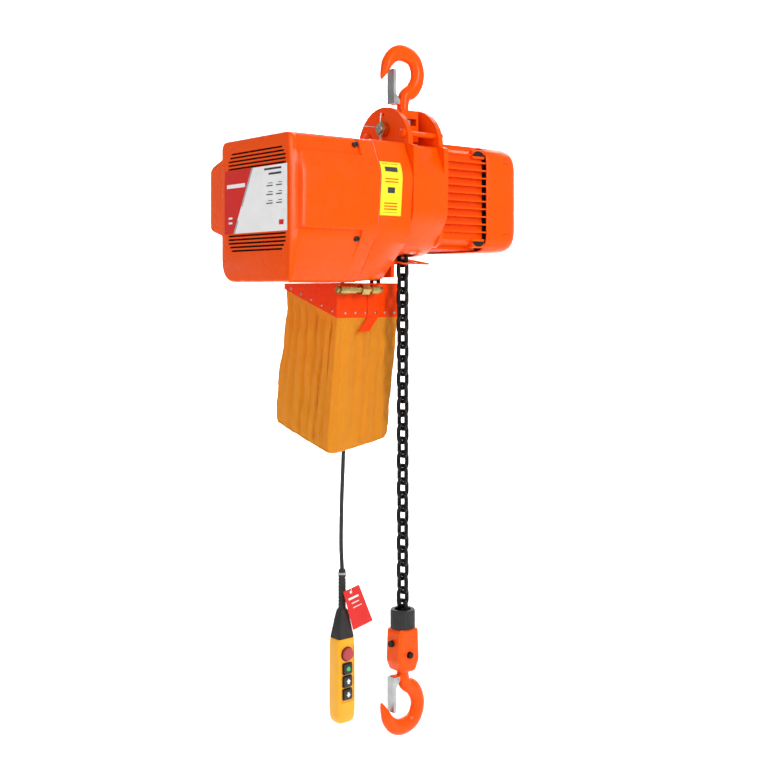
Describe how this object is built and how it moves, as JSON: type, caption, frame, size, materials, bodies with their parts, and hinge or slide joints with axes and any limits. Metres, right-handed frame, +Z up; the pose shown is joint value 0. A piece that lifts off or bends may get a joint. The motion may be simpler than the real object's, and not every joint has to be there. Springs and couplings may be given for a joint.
{
  "type": "electric chain hoist",
  "caption": "Hook-suspended electric chain hoist with finned motor, vented control cover, load chain with swivel hook, chain bag and push-button pendant.",
  "frame": {"origin": "saddle of the top hook, where the support bears", "axes": "+X along the motor axis from the control cover to the fan cover, +Y to the back, +Z up the hook axis"},
  "size_m": [0.6392, 0.3745, 1.5531],
  "materials": {
    "orange_paint": "glossy enamel",
    "dark_orange": "painted sheet",
    "black_steel": "blackened",
    "bright_steel": "machined",
    "zinc": "zinc plated",
    "yellow_zinc": "yellow zinc plated",
    "black_rubber": "matt",
    "black_plastic": "moulded",
    "yellow_plastic": "moulded",
    "red_plastic": "moulded",
    "green_plastic": "moulded",
    "label_film": "printed film",
    "tag_card": "card",
    "bag_cloth": "woven cloth",
    "cast_iron": "as cast",
    "copper_winding": "wound wire"
  },
  "bodies": {
    "top_hook": {"top_hook": "orange_paint", "top_hook_nut": "zinc"},
    "hoist": {"top_yoke": "orange_paint", "suspension_pin": "bright_steel", "castle_nut": "yellow_zinc", "split_pin": "bright_steel", "tie_bolt_front": "orange_paint", "tie_bolt_back": "orange_paint", "lug_plate_gear_side": "orange_paint", "lug_plate_motor_side": "orange_paint", "control_cover": "orange_paint", "rating_plate": "label_film", "gear_case": "orange_paint", "sheave_housing": "orange_paint", "mounting_plate": "zinc", "contactor": "black_plastic", "transformer": "copper_winding", "motor_flange": "orange_paint", "motor_housing": "orange_paint", "stator": "cast_iron", "brake_coil": "cast_iron", "fan_cover": "orange_paint", "gear_side_bearing": "bright_steel", "motor_side_bearing": "bright_steel", "load_chain": "black_steel", "slack_chain": "black_steel", "chain_guide": "dark_orange", "bag_holder": "dark_orange", "chain_bag": "bag_cloth", "bag_strap": "dark_orange", "hanger_bolt": "yellow_zinc", "hanger_sleeve": "yellow_zinc", "hanger_nut": "yellow_zinc", "cable_gland": "black_plastic", "pendant_cable": "black_rubber", "pendant_boot": "black_rubber", "pendant_case": "yellow_plastic", "swing_tag": "tag_card"},
    "top_latch": {"top_hook_latch": "zinc"},
    "hook_block": {"chain_end_links": "black_steel", "stop_cup": "black_rubber", "hook_block_front": "orange_paint", "hook_block_back": "orange_paint", "chain_pin": "black_steel", "hook_block_bolt": "black_steel"},
    "load_hook": {"load_hook": "orange_paint", "load_hook_nut": "zinc"},
    "load_latch": {"load_hook_latch": "zinc"},
    "sheave": {"load_sheave": "cast_iron", "sheave_gear": "bright_steel"},
    "countershaft": {"countershaft": "bright_steel"},
    "rotor": {"rotor": "bright_steel", "input_pinion": "bright_steel", "cooling_fan": "black_plastic"},
    "limit_lever": {"limit_lever": "orange_paint"},
    "brake_armature": {"brake_armature": "cast_iron"},
    "estop_button": {"estop_button": "red_plastic"},
    "start_button": {"start_button": "green_plastic"},
    "up_button": {"up_button": "black_plastic"},
    "down_button": {"down_button": "black_plastic"}
  },
  "joints": [
    {"name": "hoist_swivel", "type": "hinge", "parent": "top_hook", "child": "hoist", "pos_m": [0, 0, -0.12], "axis": [0, 0, 1], "continuous": true},
    {"name": "top_latch_hinge", "type": "hinge", "parent": "top_hook", "child": "top_latch", "pos_m": [-0.0215, 0, -0.09], "axis": [0, 1, 0], "range_deg": [0, 28], "stiffness_Nm_per_rad": 0.2, "springref_deg": -22.92},
    {"name": "hook_lift", "type": "slide", "parent": "hoist", "child": "hook_block", "axis": [0, 0, 1], "range_m": [0, 0.592], "deforming": ["load_chain"]},
    {"name": "load_hook_swivel", "type": "hinge", "parent": "hook_block", "child": "load_hook", "pos_m": [0, 0, -1.31], "axis": [0, 0, 1], "continuous": true},
    {"name": "load_latch_hinge", "type": "hinge", "parent": "load_hook", "child": "load_latch", "pos_m": [-0.0215, 0, -1.337], "axis": [0, -1, 0], "range_deg": [0, 28], "stiffness_Nm_per_rad": 0.2, "springref_deg": -22.92},
    {"name": "sheave_spin", "type": "hinge", "parent": "hoist", "child": "sheave", "pos_m": [0, 0.04789, -0.291], "axis": [1, 0, 0], "continuous": true},
    {"name": "countershaft_spin", "type": "hinge", "parent": "hoist", "child": "countershaft", "pos_m": [0, 0.04789, -0.367], "axis": [1, 0, 0], "continuous": true},
    {"name": "rotor_spin", "type": "hinge", "parent": "hoist", "child": "rotor", "pos_m": [0, 0.04789, -0.291], "axis": [1, 0, 0], "continuous": true},
    {"name": "limit_lever_hinge", "type": "hinge", "parent": "hoist", "child": "limit_lever", "pos_m": [0.022, 0.04, -0.4275], "axis": [-1, 0, 0], "range_deg": [0, 13], "stiffness_Nm_per_rad": 2, "springref_deg": -5.73},
    {"name": "brake_armature_slide", "type": "slide", "parent": "hoist", "child": "brake_armature", "axis": [1, 0, 0], "range_m": [0, 0.001], "stiffness_N_per_m": 2000, "springref_m": -0.004},
    {"name": "estop_button_press", "type": "slide", "parent": "hoist", "child": "estop_button", "axis": [0, 1, 0], "range_m": [0, 0.004]},
    {"name": "start_button_press", "type": "slide", "parent": "hoist", "child": "start_button", "axis": [0, 1, 0], "range_m": [0, 0.004], "stiffness_N_per_m": 600, "springref_m": -0.001},
    {"name": "up_button_press", "type": "slide", "parent": "hoist", "child": "up_button", "axis": [0, 1, 0], "range_m": [0, 0.004], "stiffness_N_per_m": 600, "springref_m": -0.001},
    {"name": "down_button_press", "type": "slide", "parent": "hoist", "child": "down_button", "axis": [0, 1, 0], "range_m": [0, 0.004], "stiffness_N_per_m": 600, "springref_m": -0.001}
  ],
  "couplings": [
    {"joint": "sheave_spin", "follows": "hook_lift", "rad_per_m": -21.227},
    {"joint": "countershaft_spin", "follows": "hook_lift", "rad_per_m": 52.103},
    {"joint": "rotor_spin", "follows": "hook_lift", "rad_per_m": -127.89}
  ]
}
